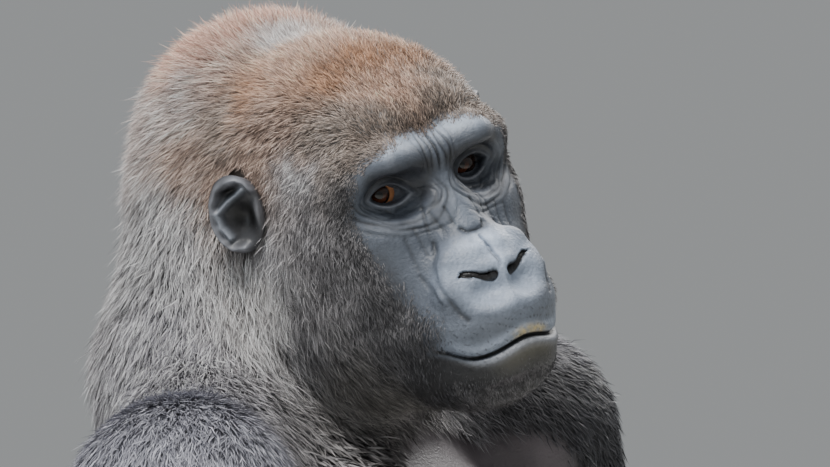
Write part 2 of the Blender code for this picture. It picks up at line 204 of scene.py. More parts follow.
def span(rows, **keep):
    """Length of each row of a table of vectors."""
    return np.linalg.norm(rows, axis=1, **keep)


def fold(local):
    """Points of the head's frame with its left side laid over its right."""
    return np.stack([np.abs(local[:, 0]), local[:, 1], local[:, 2]], 1)


def near_head(local):
    """True within reach of the head's own shapes."""
    return span(local - (0, -60, -20)) < 330


HEAD_BALLS = [   # centre, radii, blend, on both sides?
    ((0, -88, 22), (72, 92, 68), 1, False),
    ((5, -188, 28), (62, 62, 62), 26, False),
    ((0, -172, -28), (97, 89, 108), 44, False),
    ((38, -64, 8), (37, 62, 52), 26, True),
    ((38, -66, -72), (46, 68, 66), 34, True),
    ((0, -8, -42), (45, 42, 54), 20, False),
    ((0, -18, 32), (57, 27, 24), 18, False),
    ((0, 14, -91), (55, 63, 38), 20, False),
    ((0, 13, -122), (46, 62, 34), 12, False),
    ((0, -46, -104), (58, 62, 46), 30, False),
]
HEAD_LIMBS = [   # start, end, radii, blend, all on both sides
    ((38, 3, -30), (49, -12, -30), (14, 15), 24),
    ((49, -12, -30), (60, -60, -28), (15, 18), 24),
    ((0, 12, 15), (34, 15, 20), (10.5, 11), 13),
    ((34, 15, 20), (56, -6, 13), (11, 11), 13),
    ((56, -6, 13), (60, -20, -16), (11, 10), 15),
    ((0, -6, 8), (0, 30, -40), (11, 16), 14),
    ((20, 27, -62), (42, -6, -58), (14, 20), 18),
]


LID_SIDE, LID_DROP, FOLD_SIDE = 34.0, 2.4, 35.0
LID_HALF, LID_TOP, LID_BOTTOM, LID_SLANT = 14.0, 7.4, 6.4, 0.11


def lid_gap(side, high):
    """Distance in front view from the opening between the lids, two arcs; below 0 inside."""
    across = side - LID_SIDE
    rise = high + LID_DROP - LID_SLANT * across
    half, top, bottom = LID_HALF, LID_TOP, LID_BOTTOM
    top_radius = (half * half + top * top) / (2 * top)
    low_radius = (half * half + bottom * bottom) / (2 * bottom)
    upper = np.hypot(across, rise - (top - top_radius)) - top_radius
    lower = np.hypot(across, rise - (low_radius - bottom)) - low_radius
    return -join(-upper, -lower, 1.0)


def mouth_height(side):
    """Height of the line between the lips: lowest half way out, rising to the corner."""
    return -109.0 - 6.0 * ease(0, 30, side) + 9.0 * ease(31, 50, side)


def nostril(folded):
    """Distance from the room inside a nostril, a slot that narrows under the wing of the nose."""
    return limb(folded, (6.5, 61, -63.5), (25, 53, -60.5), 4.6, 3.2)


def head_surface(points):
    """Distance from the bare head, with brows, orbits, nose, lips and open lids."""
    folded = fold(points)
    side, ahead, high = folded.T
    distance = np.full(len(points), 1e3)
    for centre, radii, blend, paired in HEAD_BALLS:
        distance = join(distance, ball(folded if paired else points, centre, radii), blend)
    for start, end, radii, blend in HEAD_LIMBS:
        distance = join(distance, limb(folded, start, end, *radii), blend)
    distance = carve(distance, ball(folded, (36, 19, -2), (21, 18, 15)), 10)
    from_eye = span(folded - EYE_CENTRE)
    distance = join(distance, from_eye - EYE_RADIUS - 2.4, 8)
    pad = ball(points, (0, 38, -75), (34, 32, 26))
    pad = join(pad, limb(folded, (22, 42, -55), (27, 46, -74), 13, 12), 12)
    pad = join(pad, limb(folded, (27, 46, -74), (0, 60, -89), 12, 11), 12)
    distance = join(distance, pad, 4)
    distance = carve(distance, ball(folded, (15, 76, -72), (15, 15, 9)), 8)
    distance = carve(distance, nostril(folded), 2.5)
    tip = join(limb(folded, (10, 33, -44), (9, 48, -52), 12, 11),
               ball(folded, (6, 56, -57.5), (9, 9, 5)), 6)
    distance = join(distance, tip, 6)
    septum = join(limb(points, (0, 52, -58), (0, 58, -66), 6.0, 3.6),
                  limb(points, (0, 58, -66), (0, 62, -78), 3.6, 3.6), 3)
    distance = join(distance, septum, 3)
    opening = np.maximum(lid_gap(side, high), EYE_RADIUS - 1.5 - from_eye)
    return carve(distance, np.maximum(opening, EYE_CENTRE[1] + 4.5 - ahead), 1.0)


CREASES = [   # depth, width, then points across and up on a plane that faces the right cheek
    (1.3, 2.0, (5, -44), (6.5, -50), (5.5, -60), (8, -71), (14, -81), (23, -91), (28, -95)),
    (1.9, 1.5, (23, -34), (27, -36.5), (31, -35.5), (36, -34.5)),
    (1.0, 1.3, (36, -36), (39, -44), (45, -52), (50, -57)),
    (0.8, 1.4, (2, -24), (7, -30), (13, -37)), (0.7, 1.3, (-3, -20), (0, -31), (3, -40)),
    (0.8, 1.2, (12, -20), (16, -27), (19, -32)), (0.7, 1.2, (-8, -36), (-3, -44), (1, -52)),
    (0.7, 1.5, (-14, -42), (-9, -52), (-5, -62)), (0.8, 1.6, (-4, -66), (3, -74), (10, -84)),
]


def path_distance(plane, path):
    """Distance in a plane from the nearest of the straight runs between a path's points."""
    nearest = np.full(len(plane), 1e3)
    for start, end in zip(np.array(path[:-1], float), np.array(path[1:], float)):
        along = end - start
        part = np.clip((plane - start) @ along / (along @ along), 0, 1)
        nearest = np.minimum(nearest, span(plane - start - part[:, None] * along))
    return nearest


def cheek_plane(folded):
    """Across and up on a plane that faces the right cheek, as the creases are drawn."""
    return folded @ np.array([[-0.8102, -0.300], [0.5335, -0.018], [-0.245, 0.954]])


def crease_depth(folded):
    """Depth in millimetres of the drawn creases: depth * exp(-(distance / width)^2)."""
    plane = cheek_plane(folded)
    total = np.zeros(len(folded))
    for depth, width, *path in CREASES:
        total = np.maximum(total, depth * bump(path_distance(plane, path), width))
    return total * ease(-20, 0, folded[:, 1])


EYE_FOLDS = [(3.4, 0.7, 0.8), (5.8, 0.6, 0.9), (8.6, 0.6, 1.0),     # place, depth, width
             (12.2, 0.7, 1.1), (16.4, 0.9, 1.3), (21.5, 0.5, 1.4)]
WING = [(10, -80), (10, -60), (13, -50), (19, -44), (32.5, -41.5), (44, -46), (50, -55)]


def face_relief(points):
    """Height in millimetres of the folds of the face over its smooth shape."""
    folded = fold(points)
    side, ahead, high = folded.T
    front = ease(0, 20, ahead)
    from_mouth = high - mouth_height(side)
    relief = -2.8 * bump(from_mouth, 1.15) * ease(49, 43, side) * front
    relief += 1.3 * bump(from_mouth - 5, 4.0) * ease(50, 34, side) * front
    relief += 1.6 * bump(from_mouth + 5, 3.6) * ease(46, 30, side) * front
    gap = lid_gap(side, high)
    around = np.arctan2(high + LID_DROP, side - FOLD_SIDE)
    low_half = ease(0.5, -0.3, np.sin(around)) * ease(-16, 0, ahead)
    relief += 0.9 * bump(gap - 1.2, 1.2) * ease(-16, 0, ahead)
    for number, (place, depth, width) in enumerate(EYE_FOLDS):
        wave = 0.9 * np.sin(3 * around + 1.9 * number) + 0.5 * np.sin(7 * around + number)
        uneven = 0.75 + 0.25 * np.sin(5 * around + number)
        relief -= depth * bump(gap - place - wave, width) * low_half * uneven
    relief -= 1.0 * bump(gap - 5.0, 1.1) * ease(0.1, 0.6, np.sin(around)) * ease(-16, 0, ahead)
    between = ease(22, 10, side) * ease(2, 12, high) * ease(40, 28, high)
    for place, depth in ((0.0, 1.6), (5.2, 0.8), (9.5, 0.9), (13.5, 0.5)):
        wave = 0.8 * np.sin(high / 4.0 + place)
        relief -= depth * bump(side - place - wave * (place > 0), 1.1) * between * front
    tip = ease(-38, -43, high) * ease(-62, -57, high) * front
    relief -= 1.0 * bump(points[:, 0], 1.3) * tip
    wing = bump(path_distance(cheek_plane(folded), WING), 4.6) * ease(20, 34, ahead)
    return 1.35 * relief + 1.7 * wing - crease_depth(folded)


# joints of the body, and the reach of its masses out to the tips of the coat, in
# millimetres from the body's own origin; the last figure is how deep the coat is there
BODY_ORIGIN = EYES - (-66.0, -111.0, 775.0)
SHOULDER = np.array([203.0, -13.0, 556.0])
ELBOW = np.array([345.0, 60.0, 270.0])
WRIST = np.array([366.0, -150.0, 96.0])
HIP = np.array([95.0, 40.0, 120.0])
KNEE = np.array([250.0, -190.0, 290.0])
ANKLE = np.array([186.0, -330.0, 76.0])
FINGER_PITCH = 25.0
TOE_PITCH = 22.0
REACH_LEFT = np.array([0, -30.0, 0])
SHRUG_LEFT = np.array([-22.0, 1.0, 42.0])

TRUNK_BALLS = [   # centre, radii, blend, depth of the coat
    ((0, 75, 125), (172, 140, 133), 1, 8),
    ((0, -4, 268), (200, 174, 178), 60, 9),
    ((0, 18, 455), (186, 146, 165), 60, 12),
    ((0, 42, 548), (168, 108, 98), 40, 12),
    ((72, -72, 485), (92, 58, 84), 30, 3),
    ((-72, -72, 485), (92, 58, 84), 30, 3),
]
NECK_LIMBS = [   # start, end, radii, blend, depth
    ((2, 44, 735), (0, 68, 640), (114, 124), 34, 11),
    ((0, 78, 634), (174, 4, 574), (72, 64), 34, 8),
    ((0, 78, 634), (-186, 4, 552), (72, 64), 34, 8),
]


def arm_joints(side):
    """Shoulder, elbow and wrist; side is 1 for the left arm and -1 for the right."""
    flip = np.array([side, 1, 1])
    left = max(side, 0)
    shoulder = SHOULDER * flip + SHRUG_LEFT * left
    return shoulder, ELBOW * flip + REACH_LEFT / 2 * left, WRIST * flip + REACH_LEFT * left


def finger_joints(side):
    """Palm, knuckle, middle joint, last joint and tip of four bent fingers."""
    wrist = arm_joints(side)[2]
    rows = []
    for finger in range(4):
        across = np.array([(finger - 1.5) * FINGER_PITCH * side, 0, 0])
        longer = -4.0 * (finger in (1, 2))
        rows.append((wrist + across * 0.55, wrist + across + (0, -54 + longer, -36),
                     wrist + across + (0, -96 + longer, -82.5),
                     wrist + across + (0, -58 + longer, -83.5), wrist + across + (0, -36, -60)))
    return rows


def arm_limbs(side):
    """Tapered limbs of one arm, from the shoulder to four bent fingers and a thumb."""
    shoulder, elbow, wrist = arm_joints(side)
    biceps = (shoulder * 0.56 + elbow * 0.44) + (0, -6, 0)
    belly = elbow * 0.68 + wrist * 0.32
    rows = [(shoulder, biceps, (77, 74), 34, 6), (biceps, elbow, (74, 58), 12, 11),
            (elbow, belly, (58, 62), 12, 13), (belly, wrist, (62, 38), 12, 8)]
    for palm, knuckle, middle, joint, tip in finger_joints(side):
        rows += [(palm, knuckle, (24, 17), 10, 1), (knuckle, middle, (17, 15), 5, 0.3),
                 (middle, joint, (15, 14), 4, 0.3), (joint, tip, (13, 11), 4, 0.3)]
    thumb, bend = wrist + (-30 * side, -8, -14), wrist + (-52 * side, -40, -40)
    return rows + [(thumb, bend, (17, 14), 8, 0.3),
                   (bend, wrist + (-56 * side, -72, -60), (14, 11), 4, 0.3)]


def toe_joints(side):
    """Root, middle and tip of four toes, then of the thumb-like first toe."""
    rows = []
    for toe in range(4):
        across = (toe - 1.0) * TOE_PITCH
        rows.append([(196.0 + across * 0.9, -446 + 6 * toe, 21), (199.0 + across, -482 + 9 * toe, 18),
                     (201.0 + across, -512 + 11 * toe, 12)])
    rows.append([(172.0, -388, 24), (140.0, -432, 19), (122.0, -474, 15)])
    return np.array(rows) * (side, 1, 1)


def leg_limbs(side):
    """Tapered limbs of one leg, with its foot flat on the ground."""
    flip = np.array([side, 1, 1])
    calf = KNEE * 0.6 + ANKLE * 0.4 + (2, 10, 0)
    heel = np.array([178.0, -302, 33])
    arch = np.array([192.0, -392, 32])
    rows = [(HIP, KNEE, (112, 78), 40, 9), (KNEE, calf, (76, 62), 14, 9),
            (calf, ANKLE, (62, 42), 14, 6), (ANKLE, heel, (40, 36), 12, 1),
            (heel, arch, (36, 34), 10, 0.3), (ANKLE, arch, (38, 32), 16, 1)]
    rows = [(start * flip, end * flip, radii, blend, depth) for start, end, radii, blend, depth in rows]
    joints = toe_joints(side)
    for toe in range(4):
        across = np.array([(toe - 1.0) * TOE_PITCH * 0.4 * side, 0, -2])
        root, middle, tip = joints[toe]
        rows += [(arch * flip + across, root, (28, 20), 14, 0.3), (root, middle, (18, 15), 5, 0.3),
                 (middle, tip, (15, 13), 4, 0.3)]
    root, middle, tip = joints[4]
    return rows + [(root, middle, (26, 19), 12, 0.3), (middle, tip, (18, 16), 5, 0.3)]


LIMBS = NECK_LIMBS + arm_limbs(1) + arm_limbs(-1) + leg_limbs(1) + leg_limbs(-1)


def from_mass(points, centre, radii, *rest):
    """Distance from one row of the tables: a ball, or a limb if it has two radii more."""
    return ball(points, centre, radii) if len(rest) == 2 else limb(points, centre, radii, *rest[0])


def body_surface(points):
    """Distance from the coat's tips on trunk and limbs, and the coat's depth beneath them.

    The depth is the mean of the masses' depths, each weighed by exp(-distance / 12).
    """
    distance = np.full(len(points), 1e3)
    weight = np.full(len(points), 1e-9)
    depth = np.zeros(len(points))
    for centre, radii, *rest in TRUNK_BALLS + LIMBS:
        own = from_mass(points, centre, radii, *rest)
        blend, own_depth = rest[-2:]
        distance = join(distance, own, blend)
        near = np.exp(-np.clip(own, -30, 300) / 12)
        weight += near
        depth += near * own_depth
    return distance, depth / weight


BACK_FILL = 6.0


def hide_surface(points):
    """Distance from the whole hide: the bare head joined to the body. World millimetres."""
    local = to_head(points)
    near = near_head(local)
    face = near & (local[:, 1] > -20) & (local[:, 2] > -112) & (np.abs(local[:, 0]) < 90)
    rest = ~face
    distance = np.full(len(points), 1e3)
    reach, depth = body_surface(points[rest] - BODY_ORIGIN)
    distance[rest] = reach + depth
    bare = head_surface(local[near]) - BACK_FILL * ease(-110, -175, local[near, 1])
    distance[near] = join(distance[near], bare, 26)
    return distance


def draw_onto(field, points, rounds, stride):
    """Newton's steps along the gradient, by forward differences, until the field is 0."""
    step = 0.25
    for _ in range(rounds):
        here = field(points)
        slope = np.stack([field(points + step * axis) - here for axis in np.eye(3)], 1) / step
        steep = np.maximum((slope * slope).sum(1), 0.3)
        points = points - np.clip(here / steep, -stride, stride)[:, None] * slope
    return points


FLESH = ["head", "neck", "trunk"] + [part + side for side in ("_l", "_r") for part in
                                     ("upper_arm", "forearm", "hand", "thigh", "shank", "foot")]
HIDE_STEP = 9.4


def net_skin(field, low, high, step):
    """The surface where a field is 0, as a net of quads on an even grid.

    Every grid cell that the surface crosses gets one point, the mean of its edges'
    crossings; every crossed edge gets a quad between the four cells round it.
    """
    sides = [np.arange(low[axis], high[axis] + step, step) for axis in range(3)]
    corners = np.stack(np.meshgrid(*sides, indexing="ij"), 3)
    shape = corners.shape[:3]
    value = field(corners.reshape(-1, 3)).reshape(shape)
    strides = (shape[1] * shape[2], shape[2], 1)
    total, count, quads = np.zeros((value.size, 3)), np.zeros(value.size), []
    for axis in range(3):
        beyond = np.roll(value, -1, axis)
        crossed = (value < 0) != (beyond < 0)
        first, second = value[crossed], beyond[crossed]
        places = corners[crossed]
        places[:, axis] += step * first / (first - second)
        cells = np.flatnonzero(crossed)
        next_stride, last_stride = strides[(axis + 1) % 3], strides[(axis + 2) % 3]
        quad = np.stack([cells - next_stride - last_stride, cells - last_stride, cells,
                         cells - next_stride], 1)
        for cell in quad.T:
            np.add.at(total, cell, places)
            np.add.at(count, cell, 1)
        quads.append(np.where((first < 0)[:, None], quad, quad[:, ::-1]))
    used = count > 0
    number = np.cumsum(used) - 1
    mesh = bpy.data.meshes.new("hide")
    mesh.from_pydata((total[used] / count[used, None] * MM).tolist(), [],
                     number[np.concatenate(quads)].tolist())
    mesh.update()
    return mesh


def mesh_points(mesh):
    points = np.empty(len(mesh.vertices) * 3)
    mesh.vertices.foreach_get("co", points)
    return points.reshape(-1, 3) / MM


def face_part(local):
    """True where the hide needs fine faces: the bare face from brows to chin."""
    side, ahead, high = fold(local).T
    return (ahead > -22) & (side < 70) & (high < 50) & (high > -142) & (ahead < 110)


def fold_part(local):
    """True on the smallest folds: round the eyes, between the brows, on nose and lips."""
    side, ahead, high = fold(local).T
    eyes = (lid_gap(side, high) < 23) & (high < 12)
    nose = (side < 44) & (high < -36) & (high > -100)
    lips = (np.abs(high - mouth_height(side)) < 8) & (side < 54)
    brows = (side < 20) & (high > 0) & (high < 36)
    return face_part(local) & (ahead > -8) & (eyes | nose | lips | brows)


def refine(mesh, choose, cuts):
    """Splits the chosen faces in a grid; choose maps world points to true or false."""
    build = bmesh.new()
    build.from_mesh(mesh)
    wanted = choose(np.array([vertex.co for vertex in build.verts]) / MM)
    edges = [edge for edge in build.edges
             if wanted[edge.verts[0].index] and wanted[edge.verts[1].index]]
    bmesh.ops.subdivide_edges(build, edges=edges, cuts=cuts, use_grid_fill=True)
    build.to_mesh(mesh)
    build.free()


hide_mesh = net_skin(lambda points: np.maximum(hide_surface(points), 0.5 - points[:, 2]),
                     np.array(cad_box[0]) / MM - 18, np.array(cad_box[1]) / MM + 18, HIDE_STEP)
refine(hide_mesh, lambda points: face_part(to_head(points)), 1)
points = mesh_points(hide_mesh)
raised = points[:, 2] > 4
points[raised] = draw_onto(hide_surface, points[raised], 3, 3.0)
hide_mesh.vertices.foreach_set("co", (points * MM).ravel())
refine(hide_mesh, lambda points: face_part(to_head(points)), 2)
refine(hide_mesh, lambda points: fold_part(to_head(points)), 1)
points = mesh_points(hide_mesh)
fine = face_part(to_head(points))
inner = to_head(points[fine])
sign = np.where(inner[:, :1] < 0, (-1, 1, 1), (1, 1, 1))
over_slot = limb(inner * sign, (8, 64, -63), (23, 57, -59.5), 0, 0)
inner += sign * (0.3, -0.8, 0.5) * (3.5 * ease(4.5, 0.5, over_slot))[:, None]
points[fine] = draw_onto(hide_surface, to_world(inner), 8, 2.0)
points[:, 2] = np.maximum(points[:, 2], 0)


def slopes(field, points):
    """Unit vectors out of the surface where field is 0, by forward differences."""
    here = field(points)
    slope = np.stack([field(points + 0.5 * axis) - here for axis in np.eye(3)], 1)
    return slope / (span(slope, keepdims=True) + 1e-9)


points[fine] += slopes(hide_surface, points[fine]) * face_relief(to_head(points[fine]))[:, None]
hide_mesh.vertices.foreach_set("co", (points * MM).ravel())
hide_mesh.update()
hide_mesh.polygons.foreach_set("use_smooth", np.ones(len(hide_mesh.polygons), bool))
hide = add_object("hide", hide_mesh)

HAIR = {   # tips and roots, as screen colours from 0 to 255
    "hump": ((254, 202, 178), (128, 90, 77)), "rim": ((248, 234, 228), (104, 94, 91)),
    "crown": ((250, 208, 182), (106, 82, 70)), "temple": ((222, 192, 174), (74, 62, 55)),
    "orange": ((218, 166, 128), (82, 60, 48)), "brow": ((190, 174, 162), (66, 60, 56)),
    "white": ((252, 250, 250), (136, 130, 128)), "grey": ((253, 252, 253), (118, 116, 118)),
    "bright": ((254, 252, 250), (132, 127, 126)), "front": ((232, 229, 231), (78, 77, 79)),
    "cheek": ((166, 163, 165), (38, 37, 39)), "muzzle": ((124, 122, 124), (34, 34, 36)),
    "jaw": ((150, 146, 142), (36, 35, 35)), "neck": ((246, 244, 249), (88, 86, 91)),
    "shoulder": ((206, 206, 216), (122, 122, 131)), "dark": ((84, 78, 76), (24, 22, 22)),
    "back": ((140, 137, 136), (42, 41, 42)), "chest": ((140, 130, 132), (70, 64, 66)),
}
HEAD_LIE = [   # place, lie, length and tone of the coat; the other side mirrors it
    (10, -165, 92, 0.05, -0.97, 0.05, 24, "hump"), (30, -190, 88, 0.25, -0.93, 0.0, 25, "hump"),
    (0, -232, 70, 0, -0.7, -0.6, 27, "hump"), (50, -215, 60, 0.45, -0.75, -0.45, 27, "rim"),
    (1, -125, 89, 0, -0.85, 0.35, 16, "white"), (0, -90, 87, 0, -0.88, 0.25, 15, "crown"),
    (26, -62, 82, -0.05, -0.9, 0.32, 13, "crown"), (0, -40, 80, 0, -0.85, 0.5, 12, "orange"),
    (30, -40, 72, 0.05, -0.86, 0.4, 12, "orange"), (30, -105, 84, 0.1, -0.95, 0.05, 15, "crown"),
    (11, -10, 62, 0, -0.7, 0.75, 8, "crown"), (-18, -12, 62, 0, -0.7, 0.75, 8, "orange"),
    (20, 4, 46, 0, -0.6, 0.8, 5, "brow"), (44, -103, 76, 0.35, -0.9, -0.25, 16, "orange"),
    (66, -121, 55, 0.51, -0.6, -0.62, 16, "brow"), (66, -156, 63, 0.6, -0.62, -0.5, 18, "rim"),
    (77, -176, 52, 0.54, -0.36, -0.76, 20, "rim"), (81, -149, 42, 0.5, -0.1, -0.83, 19, "temple"),
    (74, -76, 41, 0.33, -0.25, -0.92, 12, "temple"), (66, -47, 49, 0.59, -0.3, -0.75, 11, "temple"),
    (55, -23, 50, 0.6, -0.55, -0.5, 8, "brow"), (56, -6, 36, 0.55, -0.55, -0.6, 5, "brow"),
    (39, -11, 54, 0.1, -0.9, 0.4, 7, "brow"), (72, -36, 27, 0.36, -0.4, -0.84, 9, "front"),
    (84, -110, 20, 0.3, -0.1, -0.92, 15, "temple"), (100, -160, 10, 0.4, -0.15, -0.88, 22, "grey"),
    (114, -175, -24, 0.43, -0.04, -0.9, 22, "grey"), (113, -147, -31, 0.19, 0.44, -0.86, 22, "grey"),
    (100, -112, -43, 0.17, 0.18, -0.97, 28, "bright"), (98, -103, -62, 0.15, 0.15, -0.98, 30, "bright"),
    (84, -77, -24, 0.06, -0.1, -0.96, 15, "front"), (90, -88, -48, 0.05, 0.2, -0.97, 22, "bright"),
    (83, -60, -86, -0.16, 0.47, -0.87, 20, "cheek"), (77, -51, -107, -0.37, 0.38, -0.85, 22, "jaw"),
    (57, -36, -132, -0.74, 0.4, -0.55, 20, "jaw"), (76, -32, -12, 0.24, 0.01, -0.97, 9, "cheek"),
    (84, -56, -62, 0, 0.1, -0.98, 16, "cheek"), (72, -18, -50, -0.1, -0.1, -0.96, 10, "cheek"),
    (63, -2, -75, -0.16, 0.05, -0.98, 9, "muzzle"), (56, 10, -90, -0.01, 0.18, -0.98, 8, "muzzle"),
    (51, 3, -118, -0.3, 0.1, -0.95, 9, "muzzle"), (62, 6, -22, 0.28, 0.19, -0.94, 5, "muzzle"),
    (61, 4, 2, 0.23, -0.4, -0.89, 4, "muzzle"), (40, 15, -139, -0.3, 0.6, -0.5, 10, "muzzle"),
    (31, 55, -131, -0.2, -0.4, -0.85, 4, "muzzle"), (0, -255, -20, 0, -0.2, -0.98, 26, "grey"),
    (70, -232, 0, 0.25, -0.2, -0.93, 25, "grey"), (0, -250, -90, 0, 0.1, -1, 28, "neck"),
    (104, -140, -90, 0.1, 0.1, -0.98, 22, "neck"),
]
BODY_LIE = [   # the same, from the body's own origin
    (102, 77, 684, 0.19, -0.13, -0.97, 23, "neck"), (110, 53, 662, 0.38, -0.35, -0.85, 21, "neck"),
    (114, 77, 647, 0.48, -0.2, -0.86, 22, "neck"), (228, -48, 627, 0.7, -0.62, -0.45, 15, "shoulder"),
    (203, -85, 605, 0.4, -0.75, -0.6, 13, "shoulder"), (247, -43, 605, 0.62, -0.4, -0.72, 16, "shoulder"),
    (180, 10, 640, 0.72, -0.6, -0.38, 17, "shoulder"), (150, 60, 640, 0.62, -0.4, -0.65, 22, "neck"),
    (205, 30, 625, 0.75, -0.5, -0.45, 17, "shoulder"), (230, 70, 600, 0.6, 0.05, -0.8, 24, "shoulder"),
    (118, 83, 632, 0.52, -0.15, -0.83, 24, "neck"), (259, 3, 580, 0.55, -0.15, -0.85, 20, "shoulder"),
    (252, -57, 573, 0.45, -0.3, -0.85, 17, "shoulder"), (189, -87, 573, 0.1, -0.5, -0.85, 13, "shoulder"),
    (0, 190, 620, 0, 0.25, -0.95, 36, "neck"), (120, 180, 560, 0.15, 0.2, -0.95, 38, "back"),
    (0, 170, 400, 0, 0.1, -1, 40, "back"), (150, 130, 400, 0.1, 0.1, -1, 42, "back"),
    (0, 215, 150, 0, 0.3, -0.95, 36, "back"), (60, -140, 510, 0.1, -0.1, -1, 12, "chest"),
    (0, -110, 600, 0, 0, -1, 12, "chest"), (0, -180, 300, 0, 0.1, -1, 24, "dark"),
    (150, -100, 330, 0.2, 0, -1, 30, "dark"), (290, 20, 430, 0.43, 0.2, -0.88, 48, "dark"),
    (330, 60, 330, 0.35, 0.25, -0.9, 54, "dark"), (370, -20, 200, -0.07, 0.78, 0.6, 44, "dark"),
    (366, -120, 125, -0.07, 0.78, 0.6, 26, "dark"), (200, -110, 260, 0.45, -0.6, -0.2, 34, "dark"),
    (250, -255, 300, 0, -0.3, -0.95, 26, "dark"), (215, -290, 170, -0.2, -0.3, -0.9, 32, "dark"),
    (160, 60, 120, 0.6, -0.3, -0.5, 34, "back"),
]


def linear(colour):
    """Screen colours from 0 to 255 as light: ((c / 255 + 0.055) / 1.055) ^ 2.4."""
    return ((np.asarray(colour, float) / 255 + 0.055) / 1.055) ** 2.4


def waves(points, size, seed):
    """Smooth noise, mostly from -1 to 1: eight sines of random slope and phase, summed, over 4.5."""
    chance = np.random.default_rng(seed)
    total = np.zeros(len(points))
    for _ in range(8):
        slope = chance.normal(size=3)
        slope *= 2 * math.pi / size / np.linalg.norm(slope) * chance.uniform(0.6, 1.7)
        total += np.sin(points @ slope + chance.uniform(0, 2 * math.pi))
    return total / 4.5


def lie_of_coat(points):
    """Direction, length, tip colour and root colour of the coat at world points.

    Every row counts by 1 / (distance^2 + 200)^2, with its own side folded over, and is
    looked up a few millimetres away so that the markings have uneven edges. The left arm
    is then darkened.
    """
    points = points + np.stack([6 * waves(points, 34, 90 + axis) + 3 * waves(points, 11, 95 + axis)
                                for axis in range(3)], 1)
    sums = np.zeros((len(points), 10))
    total = np.zeros((len(points), 1))
    for rows, local, axes in ((HEAD_LIE, to_head(points), HEAD_AXES),
                              (BODY_LIE, points - BODY_ORIGIN, np.eye(3))):
        flip = np.where(local[:, :1] < 0, (-1, 1, 1), (1, 1, 1))
        folded = local * flip
        for *numbers, length, name in rows:
            place, lie = numbers[:3], numbers[3:]
            weight = 1 / (((folded - place) ** 2).sum(1, keepdims=True) + 200) ** 2
            tip, root = HAIR[name]
            sums[:, :3] += weight * ((np.array(lie) * flip) @ axes)
            sums[:, 3:] += weight * np.concatenate([[length], linear(tip), linear(root)])
            total += weight
    sums /= total
    body = points - BODY_ORIGIN
    sums[:, 4:] *= 1 - 0.85 * (ease(60, 150, body[:, 0]) * ease(690, 640, body[:, 2]))[:, None]
    return sums[:, :3], sums[:, 3], sums[:, 4:7], sums[:, 7:]


def edge_of_face(points):
    """Millimetres from the bare face's edge, positive under the coat."""
    side, ahead, high = fold(to_head(points)).T
    cheek = side - 61 + np.minimum(0.0035 * (high + 10) ** 2, 14)
    brow = high - 31.5 + 0.010 * (side - 20) ** 2
    throat = -129 - high - 0.25 * np.maximum(40 - ahead, 0)
    back = -4 - ahead - 0.05 * np.maximum(-high, 0)
    return np.maximum(np.maximum(cheek, brow), np.maximum(throat, back)) + 1.8 * waves(points, 12, 3)


def bare_share(points, fade=-10.0, full=12.0):
    """1 on bare skin, 0 under the coat: face, hands, soles and front of the chest."""
    soft = ease(-30, -60, to_head(points)[:, 2])
    from_edge = edge_of_face(points)
    face = ease(full, fade, from_edge) * soft + ease(0.3 * full, 0.3 * fade, from_edge) * (1 - soft)
    body = points - BODY_ORIGIN
    chest = np.minimum(span((body - (0, -150, 480)) / (112, 70, 120)),
                       span((body - (60, -80, 575)) / (105, 60, 45)))
    low = np.maximum(ease(112, 96, body[:, 2]) * (np.abs(body[:, 0]) > 270) * ease(-140, -170, body[:, 1]),
                     ease(74, 60, body[:, 2]) * ease(-290, -310, body[:, 1]))
    return np.maximum(np.maximum(face, ease(1.05, 0.85, chest)), low)


def colour_layer(mesh, name, colours):
    layer = mesh.attributes.new(name, "FLOAT_COLOR", "POINT")
    layer.data.foreach_set("color", np.concatenate([colours, np.ones((len(colours), 1))], 1).ravel())


